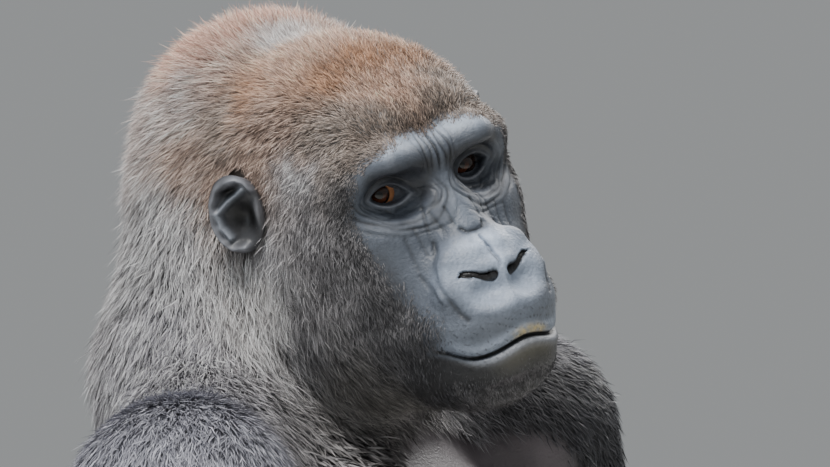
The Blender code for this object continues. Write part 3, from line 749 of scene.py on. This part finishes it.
def skin_colours(points):
    """Slate skin, paler on the nose; painted highlights on the brow tops, lower lip, lower lid rims and raised
    folds; painted shade round the eyes, under the brows, beside the nose root, on the chin, in the mouth line,
    nostrils and creases; the coat's roots elsewhere.
    """
    local = to_head(points)
    folded = fold(local)
    side, ahead, high = folded.T
    far = span(local)
    roots = lie_of_coat(points)[3] * 0.7
    slate = np.tile(linear((84, 90, 100)), (len(points), 1))

    def blend(colour, share):
        slate[:] = slate + (linear(colour) - slate) * np.clip(share, 0, 1)[:, None]

    nose = span((folded - (0, 46, -68)) / (38, 40, 32))
    blend((146, 157, 174), ease(1.15, 0.8, nose))
    # painted highlight: the top of the brows, where the light falls, is painted paler
    blend((150, 160, 174), ease(22, 31, high) * ease(-5, 10, ahead))
    blend((106, 113, 124), ease(-84, -92, high) * ease(-30, 10, ahead) * ease(58, 46, side))
    blend((104, 112, 124), ease(14, 4, side) * ease(0, -14, high) * ease(1.0, 1.2, nose))
    opening = lid_gap(side, high)
    # painted shade: darker round the opening between the lids, most above it under the brow
    blend((44, 44, 48), (0.25 + 0.4 * ease(-4, 3, high)) * ease(10, 1, opening) * ease(-16, -6, ahead))
    # painted shade: a dark band on the underside of the brow ridge
    blend((38, 38, 42), 0.85 * ease(30, 20, np.abs(side - 29)) * bump(high - 12, 8))
    # painted shade: the hollow between the inner eye corner and the nose root
    blend((46, 46, 50), 0.8 * bump(side - 14, 7) * bump(high + 2, 11))
    blend((62, 63, 67), 0.8 * ease(44, 58, side) * ease(-20, -60, high))
    # painted shade: the lower lip and chin below the mouth, turned away from the light, are painted darker
    blend((52, 52, 53), ease(2, -6, high - mouth_height(side)) * ease(-90, -100, high))
    from_mouth = high - mouth_height(side)
    yellow = ease(-24, -12, local[:, 0]) * ease(14, 2, local[:, 0])
    blend((176, 156, 100), 0.75 * bump(from_mouth - 4, 3.4) * yellow * (0.7 + 0.5 * waves(points, 6, 17)))
    blend((88, 85, 74), 0.6 * bump(from_mouth + 10, 8) * ease(30, 10, side))
    # painted highlight: a pale band along the lower lip just below the mouth line
    blend((120, 123, 130), 0.5 * bump(from_mouth + 4, 3) * ease(40, 20, side))
    # painted shade: the crease between the lips is painted nearly black
    blend((20, 18, 20), bump(from_mouth, 1.4) * ease(50, 44, side) * ease(0, 20, ahead))
    # painted shade: the nostrils' openings are painted nearly black, a little wider than the carved slot
    blend((14, 13, 15), ease(1.9, 0.5, nostril(folded)))
    # painted highlight: a pale line along the wet rim of the lower lid
    blend((134, 134, 140), 0.5 * bump(opening - 0.9, 0.7) * ease(-4, -8, high) * ease(-16, -6, ahead))
    body = points - BODY_ORIGIN
    chest = ease(660, 625, body[:, 2]) * ease(300, 340, body[:, 2]) * ease(0, -30, body[:, 1])
    blend((98, 91, 95), chest * (far > 150))
    blend((44, 43, 46), ease(130, 100, body[:, 2]) + (body[:, 2] < 330) * (far > 150))
    stubble = ease(0.55, 0.85, waves(points, 3.6, 18)) * ease(24, 16, np.abs(from_mouth - 14)) * (side < 44)
    blend((44, 44, 48), 0.6 * stubble * ease(-86, -92, high) * ease(0, 20, ahead))
    # painted shade in the face's creases and painted highlight on its raised folds, from the relief
    fold_light_and_shade = np.clip(face_relief(local), -1.6, 1.0) * ease(-20, -4, ahead) * (far < 180)
    slate *= (1 + 0.5 * fold_light_and_shade)[:, None]
    mottle = 1 + 0.10 * waves(points, 9, 11) + 0.08 * waves(points, 26, 12) + 0.09 * waves(points, 3.4, 13)
    share = bare_share(points, 2.0, 26.0)[:, None]
    return np.clip((roots + (slate - roots) * share) * mottle[:, None], 0.003, 0.9)


points = mesh_points(hide_mesh)
colour_layer(hide_mesh, "tint", skin_colours(points))
local = to_head(points)
gap = lid_gap(np.abs(local[:, 0]), local[:, 2])
around = np.arctan2(local[:, 2] + LID_DROP, np.abs(local[:, 0]) - FOLD_SIDE)
folds = np.stack([gap, 7 * around, local[:, 1] * 0.25], 1)
folds += (local - folds) * ease(9, 22, gap)[:, None]
layer = hide_mesh.attributes.new("folds", "FLOAT_VECTOR", "POINT")
layer.data.foreach_set("vector", folds.ravel())


def shader_tree(name, roughness, specular):
    """A material whose colour is the tint on the mesh; returns it, its nodes and links."""
    made = bpy.data.materials.new(name)
    made.use_nodes = True
    nodes, links = made.node_tree.nodes, made.node_tree.links
    shader = nodes["Principled BSDF"]
    shader.inputs["Roughness"].default_value = roughness
    shader.inputs["Specular IOR Level"].default_value = specular
    tint = nodes.new("ShaderNodeAttribute")
    tint.attribute_name = "tint"
    links.new(tint.outputs["Color"], shader.inputs["Base Color"])
    return made, nodes, links, shader


skin_look, nodes, links, shader = shader_tree("skin", 0.48, 0.5)
read = nodes.new("ShaderNodeAttribute")
read.attribute_name = "folds"
place = nodes.new("ShaderNodeTexCoord")


def noise(scale, vector):
    made = nodes.new("ShaderNodeTexNoise")
    made.inputs["Scale"].default_value = scale
    made.inputs["Detail"].default_value = 3
    links.new(vector, made.inputs["Vector"])
    return made.outputs["Fac"]


fine = noise(0.55, read.outputs["Vector"])
pores = noise(420, place.outputs["Object"])
both = nodes.new("ShaderNodeMath")
both.operation = "MULTIPLY_ADD"
both.inputs[1].default_value = 0.45
links.new(pores, both.inputs[0])
links.new(fine, both.inputs[2])
rough = nodes.new("ShaderNodeBump")
rough.inputs["Strength"].default_value = 0.6
rough.inputs["Distance"].default_value = 0.0010
links.new(both.outputs[0], rough.inputs["Height"])
links.new(rough.outputs["Normal"], shader.inputs["Normal"])
hide_mesh.materials.append(skin_look)
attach(hide, "root")
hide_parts(*FLESH)

# The ears: small, bare and dark, each a bowl with a thick rolled rim, a slanting ridge
# inside it and a knob in front of the passage. Each is sunk in the coat of its own side.
EAR_PLACE = np.array([98.0, -84.0, 4.0])
EAR_TURN = math.radians(35)
EAR_OUT = np.array([math.cos(EAR_TURN), math.sin(EAR_TURN), 0])
EAR_AHEAD = np.array([-math.sin(EAR_TURN), math.cos(EAR_TURN), 0])
EAR_REACH = (19.5, 27.0)
EAR_RIM = [(14.9, 16.4), (12, 21.5), (5.9, 24.2), (-2, 23), (-9.5, 18.8), (-16, 9.4), (-18, -4), (-15.5, -15),
           (-8.9, -22.4), (1, -23)]
EAR_RIDGE = [(8.1, 16.1), (-4, 9.5), (-13.0, 2.8), (-12.5, -7), (-8, -15)]


def over_ear(points, grow):
    """True where world points lie over an ear's outline, grown by some millimetres."""
    offset = fold(to_head(points)) - EAR_PLACE
    across = (offset @ EAR_AHEAD + 4) / (EAR_REACH[0] - 3 + grow)
    return (np.hypot(across, offset[:, 2] / (EAR_REACH[1] + grow)) < 1) & (np.abs(offset @ EAR_OUT) < 45)


def grid_mesh(name, points):
    """A mesh on a grid of points, rows by columns, with the columns joined round."""
    rows, columns = points.shape[:2]
    here = np.arange(rows - 1)[:, None] * columns + np.arange(columns)
    after = np.arange(rows - 1)[:, None] * columns + np.roll(np.arange(columns), -1)
    faces = np.stack([here, after, after + columns, here + columns], 2).reshape(-1, 4)
    mesh = bpy.data.meshes.new(name)
    mesh.from_pydata((points.reshape(-1, 3) * MM).tolist(), [], faces.tolist())
    mesh.polygons.foreach_set("use_smooth", np.ones(len(faces), bool))
    mesh.update()
    return mesh


def mixed(base, *layers):
    """Base colour with each layer of colour and share laid over it."""
    shades = np.tile(linear(base), (len(layers[0][1]), 1))
    for colour, share in layers:
        shades += (linear(colour) - shades) * np.clip(share, 0, 1)[:, None]
    return shades


for letter, sign in (("r", 1), ("l", -1)):
    reach = np.concatenate([np.linspace(0.001, 1, 46), np.linspace(0.985, 0.72, 7)])
    angles = np.linspace(0, 2 * math.pi, 96, endpoint=False) * sign
    plane = np.stack([np.outer(reach, np.cos(angles)) * EAR_REACH[0] - 1,
                      np.outer(reach, np.sin(angles)) * EAR_REACH[1]], 2).reshape(-1, 2)
    rim = bump(path_distance(plane, EAR_RIM), 3.3)
    ridge = bump(path_distance(plane, EAR_RIDGE), 2.2)
    hollow = bump(np.hypot((plane[:, 0] - 3) / 9, (plane[:, 1] + 3) / 11), 1)
    knob = bump(np.hypot((plane[:, 0] - 15) / 4.5, (plane[:, 1] + 3) / 10), 1)
    groove = bump(np.hypot((plane[:, 0] + 3) / 7, (plane[:, 1] - 15.5) / 3), 1)
    out = 1.5 + 6.5 * rim + 5 * ridge - 7 * hollow + 5 * knob - 3 * groove
    rows = np.repeat(np.arange(len(reach)), len(angles))
    level = np.repeat(np.minimum(1, 6 - 5.4 * reach), len(angles))
    out = np.where(rows > 45, 3 - 3.2 * (rows - 45), out * level)
    points = (EAR_PLACE + plane[:, :1] * EAR_AHEAD + plane[:, 1:] * np.array([0, 0, 1.0])
              + out[:, None] * EAR_OUT)
    points = to_world(points * (sign, 1, 1))
    mesh = grid_mesh("ear_" + letter, points.reshape(len(reach), len(angles), 3))
    # dark ear skin, with painted highlight on the rolled rim, the ridge and the knob, and painted shade in the
    # hollow of the bowl and in the groove
    tone = mixed((46, 46, 49), ((128, 130, 137), rim * (0.65 + 0.35 * waves(points, 13, 5))),
                 ((134, 139, 148), 0.9 * ridge), ((100, 100, 104), knob),
                 ((9, 8, 9), 1.5 * hollow * (1 - ridge)), ((20, 19, 20), 1.2 * groove * (1 - ridge)))
    colour_layer(mesh, "tint", tone)
    mesh.materials.append(skin_look)
    ear = add_object("ear_" + letter, mesh)
    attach(ear, "root")
    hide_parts("ear_" + letter)

# The eyes: wet balls between the lids, with a dark brown iris and a brown white of the eye,
# on which a lit orange patch towards the nose is painted light. Both look a little to one side of the camera.
eye_look, nodes, links, shader = shader_tree("eye", 0.06, 0.35)
shader.inputs["Coat Weight"].default_value = 0.3
shader.inputs["Coat Roughness"].default_value = 0.03
EYE_RINGS, EYE_SPOKES = 64, 72
VIEW_ON_HEAD = [HEAD_AXES @ axis for axis in (VIEW_RIGHT, np.array([0, 0, 1.0]), -VIEW_AWAY)]
for letter, sign, aside, below in (("r", 1, 0.10, 0.16), ("l", -1, 0.20, 0.06)):
    gaze = VIEW_ON_HEAD[2] + aside * VIEW_ON_HEAD[0] - below * VIEW_ON_HEAD[1]
    gaze /= np.linalg.norm(gaze)
    flat = np.cross((0, 0, 1.0), gaze)
    flat /= np.linalg.norm(flat)
    steep = np.cross(gaze, flat)
    tilt = np.linspace(0.002, 2.0, EYE_RINGS)
    angles = np.linspace(0, 2 * math.pi, EYE_SPOKES, endpoint=False)
    reach = EYE_RADIUS + 0.9 * bump(tilt * EYE_RADIUS, 5.5)
    points = (reach * np.cos(tilt))[:, None, None] * gaze + (reach * np.sin(tilt))[:, None, None] * (
        np.cos(angles)[:, None] * flat + np.sin(angles)[:, None] * steep)
    points = to_world(EYE_CENTRE * (sign, 1, 1) + points)
    mesh = grid_mesh("eye_" + letter, points)
    from_pupil = np.repeat(tilt * EYE_RADIUS, EYE_SPOKES)
    turn = np.tile(angles, EYE_RINGS)
    nasal = np.cos(turn) * np.sign(flat[0]) * -sign
    fibres = 0.8 + 0.25 * np.sin(23 * turn + 2 * np.sin(5 * turn)) * ease(1.8, 3.5, from_pupil)
    # painted light: towards the nose the brown white of the eye is painted much paler and orange, as where it
    # catches the light
    tone = mixed((40, 27, 21), ((176, 122, 84), ease(7.2, 8.6, from_pupil) * ease(-0.2, 0.5, nasal)),
                 ((44, 25, 17), ease(6.9, 6.2, from_pupil)),
                 ((86, 48, 30), ease(6.3, 5.2, from_pupil) * ease(0.3, -0.8, np.sin(turn)) * fibres),
                 ((14, 10, 9), bump(from_pupil - 6.6, 0.55)), ((3, 3, 4), ease(2.9, 2.5, from_pupil)))
    colour_layer(mesh, "tint", tone)
    mesh.materials.append(eye_look)
    eye = add_object("eye_" + letter, mesh)
    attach(eye, "root")
    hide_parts("eye_" + letter)

# The nails: flat dark plates on the last joint of every finger and toe, grown into the skin.
nail_look, nodes, links, shader = shader_tree("nail", 0.32, 0.5)
NAIL_RADII = np.array([6.5, 5.6, 2.6])


def add_nails(name, node, seats):
    """Flat ellipsoids, one on each seat of centre, length direction and outward direction."""
    rise = np.linspace(-math.pi / 2 + 0.02, math.pi / 2 - 0.02, 12)
    angles = np.linspace(0, 2 * math.pi, 20, endpoint=False)
    plate = np.stack([np.outer(np.cos(rise), np.cos(angles)), np.outer(np.cos(rise), np.sin(angles)),
                      np.repeat(np.sin(rise)[:, None], 20, 1)], 2) * NAIL_RADII
    meshes = []
    for centre, along, out in seats:
        along = along / np.linalg.norm(along)
        across = np.cross(out, along)
        across /= np.linalg.norm(across)
        axes = np.stack([along, across, np.cross(along, across)])
        meshes.append(grid_mesh(name, BODY_ORIGIN + centre + plate @ axes))
    build = bmesh.new()
    for mesh in meshes:
        build.from_mesh(mesh)
    build.to_mesh(meshes[0])
    build.free()
    colour_layer(meshes[0], "tint", np.tile(linear((46, 42, 41)), (len(meshes[0].vertices), 1)))
    meshes[0].materials.append(nail_look)
    item = add_object(name, meshes[0])
    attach(item, "root")
    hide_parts(node)


for letter, side in (("l", 1), ("r", -1)):
    seats = [(tip * 0.8 + joint * 0.2 + (0, 7.5, -7.2), tip - joint, np.array([0, 0.72, -0.69]))
             for palm, knuckle, middle, joint, tip in finger_joints(side)]
    add_nails("nails_hand_" + letter, "hand_" + letter, seats)
    seats = [(tip + (0, 2, 8.5), tip - middle, np.array([0, 0.3, 1.0]))
             for start, middle, tip in toe_joints(side)]
    add_nails("nails_foot_" + letter, "foot_" + letter, seats)

# The coat: tufts of hair rooted in the hide, thin blades that overlap and lie along the body.
# The crown and hump carry short brown and rust hair that stands up a little at its edge.


def triangles_of(mesh):
    mesh.calc_loop_triangles()
    corners = np.empty(len(mesh.loop_triangles) * 3, int)
    mesh.loop_triangles.foreach_get("vertices", corners)
    return corners.reshape(-1, 3)


hide_points = mesh_points(hide_mesh)
hide_corners = triangles_of(hide_mesh)
hide_middle = hide_points[hide_corners].mean(1)
hide_cross = np.cross(hide_points[hide_corners[:, 1]] - hide_points[hide_corners[:, 0]],
                      hide_points[hide_corners[:, 2]] - hide_points[hide_corners[:, 0]])
hide_area = span(hide_cross) / 2
hide_normals = np.empty(len(hide_points) * 3)
hide_mesh.vertices.foreach_get("normal", hide_normals)
hide_normals = hide_normals.reshape(-1, 3)
MASS_NAMES = ["trunk"] * 4 + ["chest"] * 2 + ["neck"] * 3
for letter in "lr":
    MASS_NAMES += ["upper_arm_" + letter] * 2 + ["forearm_" + letter] * 2 + ["hand"] * 18
for letter in "lr":
    MASS_NAMES += ["thigh_" + letter] * 2 + ["shank_" + letter] + ["foot"] * 17


def mass_of(points):
    """Which mass each point belongs to: the nearest, or the head where that is nearer."""
    body = points - BODY_ORIGIN
    nearest = np.full(len(points), 1e3)
    label = np.zeros(len(points), int)
    for index, (centre, radii, *rest) in enumerate(TRUNK_BALLS + LIMBS):
        own = from_mass(body, centre, radii, *rest)
        label[own < nearest] = index
        nearest = np.minimum(nearest, own)
    names = np.array(MASS_NAMES, dtype=object)[label]
    local = to_head(points)
    head = head_surface(local) - 12 < nearest
    names[head & near_head(local)] = "head"
    return names


hide_mass = mass_of(hide_middle)
hide_local = to_head(hide_middle)
hide_bare = bare_share(hide_middle)


def coat_depth(points):
    """How far the coat's tips stand off the hide."""
    local = to_head(points)
    head = 12 * ease(-4, -80, local[:, 1]) + 2 * ease(-110, -175, local[:, 1])
    head = head * (1 - 0.6 * bump(span(fold(local) - EAR_PLACE), 26)) + 2.0
    share = ease(150, 185, span(local - (0, -90, -10)))
    return head + (body_surface(points - BODY_ORIGIN)[1] - head) * share


hair_look, nodes, links, shader = shader_tree("hair", 0.42, 0.35)


def add_coat(name, chosen, count, width, seed, axis, stray=0.04, steep=0.4):
    """One piece of coat: count tufts rooted at random on the chosen triangles of the hide.

    A tuft is a root edge, a middle edge and a tip. Its tip lies length from the root, of
    which lift is off the hide; its middle lies 0.45 of the way at 0.62 of the lift.
    """
    chance = np.random.default_rng(seed)
    area = hide_area * chosen * (1 - hide_bare)
    pick = np.searchsorted(np.cumsum(area), chance.uniform(0, area.sum(), count))
    pick = np.minimum(pick, len(area) - 1)
    first, second = chance.uniform(size=(2, count))
    over = first + second > 1
    first[over], second[over] = 1 - first[over], 1 - second[over]
    share = np.stack([1 - first - second, first, second], 1)[:, :, None]
    root = (hide_points[hide_corners[pick]] * share).sum(1)
    normal = (hide_normals[hide_corners[pick]] * share).sum(1)
    normal /= span(normal, keepdims=True)
    keep = chance.uniform(size=count) > bare_share(root)
    root, normal = root[keep], normal[keep]
    count = len(root)
    lie, length, tip_colour, root_colour = lie_of_coat(root)
    lie -= normal * (lie * normal).sum(1, keepdims=True)
    lie /= span(lie, keepdims=True) + 1e-9
    across = np.cross(normal, lie)
    turn = 0.34 * waves(root, 16, seed) + 0.26 * waves(root, 5, seed + 1) + chance.normal(0, 0.25, count)
    lie, across = (lie * np.cos(turn)[:, None] + across * np.sin(turn)[:, None],
                   across * np.cos(turn)[:, None] - lie * np.sin(turn)[:, None])
    inward = ease(-2, 16, edge_of_face(root))
    length = length * chance.uniform(0.7, 1.2, count) * (0.45 + 0.55 * inward)
    lift = coat_depth(root) * (0.85 + 0.18 * waves(root, 11, seed + 2)) * chance.uniform(0.4, 1.15, count)
    wild = chance.uniform(size=count) < stray
    lift = np.where(wild, lift * chance.uniform(1.2, 1.7, count) + 1, lift)
    lift = np.minimum(lift, length * np.where(wild, 0.85, steep))
    reach = np.sqrt(length ** 2 - lift ** 2)
    roll = chance.normal(0, 0.5, count)
    edge = across * np.cos(roll)[:, None] + normal * np.sin(roll)[:, None]
    wide = (width * chance.uniform(0.7, 1.3, count) * (0.6 + 0.4 * inward))[:, None] / 2
    bend = across * (length * chance.normal(0, 0.075, count))[:, None]
    middle = root + lie * (0.45 * reach)[:, None] + normal * (0.62 * lift)[:, None] + bend
    tip = root + lie * reach[:, None] + normal * lift[:, None]
    root = root - normal * 0.8
    points = np.stack([root - edge * wide, root + edge * wide, middle - edge * wide * 0.8,
                       middle + edge * wide * 0.8, tip], 1)
    clear = ~(over_ear(points[:, 0], 1) | over_ear(points[:, 4], -2) | over_ear(points[:, 2], -1))
    points, root = points[clear], root[clear]
    tip_colour, root_colour = tip_colour[clear], root_colour[clear]
    count = len(root)
    points[:, :, 2] = np.maximum(points[:, :, 2], 0.3)
    start = np.arange(count)[:, None] * 5
    corners = np.concatenate([start + (0, 1, 3, 2), start + (2, 3, 4)], 1)
    mesh = bpy.data.meshes.new(name)
    mesh.vertices.add(count * 5)
    mesh.vertices.foreach_set("co", (points * MM).ravel())
    mesh.loops.add(count * 7)
    mesh.loops.foreach_set("vertex_index", corners.ravel())
    mesh.polygons.add(count * 2)
    mesh.polygons.foreach_set("loop_start", (np.arange(count)[:, None] * 7 + (0, 4)).ravel())
    mesh.polygons.foreach_set("use_smooth", np.ones(count * 2, bool))
    patchy = 1 + 0.34 * waves(points[:, 0], 8, seed + 3) + 0.22 * waves(points[:, 0], 24, 7)
    grade = np.where(chance.uniform(size=count) < 0.4, chance.uniform(0.8, 1.25, count),
                     chance.uniform(0.05, 0.7, count)) * patchy
    grade = np.clip(grade, 0.03, 1.4)[:, None]
    light = np.minimum(root_colour + (tip_colour - root_colour) * grade, 0.92)
    half = root_colour + (light - root_colour) * 0.6
    low = root_colour * 0.8
    shades = np.stack([low, low, half, half, light], 1) * chance.uniform(0.85, 1.15, (count, 1, 1))
    colour_layer(mesh, "tint", shades.reshape(-1, 3))
    start_point, direction = axis
    direction = direction / np.linalg.norm(direction)
    from_axis = root - start_point
    along = from_axis @ direction
    reference = np.cross(direction, (0.3, 0.1, 0.95) if abs(direction[2]) < 0.9 else (0, 1, 0.1))
    reference /= np.linalg.norm(reference)
    angle = np.arctan2(from_axis @ np.cross(direction, reference), from_axis @ reference)
    place = np.stack([angle, along], 1)
    place = 0.004 + 0.988 * (place - place.min(0)) / (np.ptp(place, 0) + 1e-9)
    patch = np.array([(0, 0), (1, 0), (0, 0.5), (1, 0.5), (0.5, 1)]) * 0.003
    spots = (place[:, None] + patch[[0, 1, 3, 2, 2, 3, 4]]).reshape(-1, 2)
    mesh.uv_layers.new(name="OFBake").data.foreach_set("uv", spots.ravel())
    mesh.update()
    mesh.validate()
    mesh.materials.append(hair_look)
    item = add_object(name, mesh)
    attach(item, "root")
    return item


HEAD_MIDDLE = to_world((0, -90, 0))
RIGHT_AXIS, _, UP_AXIS = HEAD_AXES
on_head = hide_mass == "head"
high_head = on_head & (hide_local[:, 2] > 40)
crown = add_coat("coat_crown", high_head, 66000, 0.56, 21, (HEAD_MIDDLE, RIGHT_AXIS), stray=0.06, steep=0.72)
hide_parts("head")

# Coat of temples and cheeks, right and left: fine hair combed down and back from the brows,
# grizzled grey, brightest in front of the ear and below it.
for letter, sign in (("r", 1), ("l", -1)):
    chosen = on_head & ~high_head & (hide_local[:, 0] * sign > 0) & (hide_local[:, 1] > -118)
    cheek = add_coat("coat_cheek_" + letter, chosen, 65000 if sign > 0 else 50000, 0.55, 31 + sign,
                     (HEAD_MIDDLE, UP_AXIS))
    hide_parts("head")

# Coat of the nape: longer grey hair that falls from the hump to the neck.
chosen = on_head & ~high_head & (hide_local[:, 1] <= -118)
nape = add_coat("coat_nape", chosen, 62000, 0.52, 41, (HEAD_MIDDLE, UP_AXIS), stray=0.06, steep=0.6)
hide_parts("head")

# Coat of the neck, falling on to the shoulders.
TRUNK_AXIS = (BODY_ORIGIN + (0, 30, 0), np.array([0, 0, 1.0]))
neck = add_coat("coat_neck", hide_mass == "neck", 62000, 0.6, 51, TRUNK_AXIS, steep=0.5)
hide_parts("neck")

# Coat of the back, belly and flanks: long dark hair; the front of the chest is bare.
trunk = add_coat("coat_trunk", (hide_mass == "trunk") | (hide_mass == "chest"), 46000, 2.2, 61, TRUNK_AXIS)
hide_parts("trunk")

# Coat of arms and legs: grey on the shoulders, then long and nearly black down to wrists
# and ankles, where it thins out over the bare hands and feet.
for number, (letter, side) in enumerate((("l", 1), ("r", -1))):
    shoulder, elbow, wrist = arm_joints(side)
    flip = np.array([side, 1, 1])
    for name, tufts, width, start, end in (
            ("upper_arm_", 46000 - 14000 * side, 0.8, shoulder, elbow), ("forearm_", 13000, 2.0, elbow, wrist),
            ("thigh_", 15000, 2.3, HIP * flip, KNEE * flip), ("shank_", 11000, 2.0, KNEE * flip, ANKLE * flip)):
        chosen = hide_mass == name + letter
        piece = add_coat("coat_" + name + letter, chosen, tufts, width, 71 + 9 * number + len(name),
                         (BODY_ORIGIN + start, end - start), steep=0.3)
        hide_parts(name + letter)
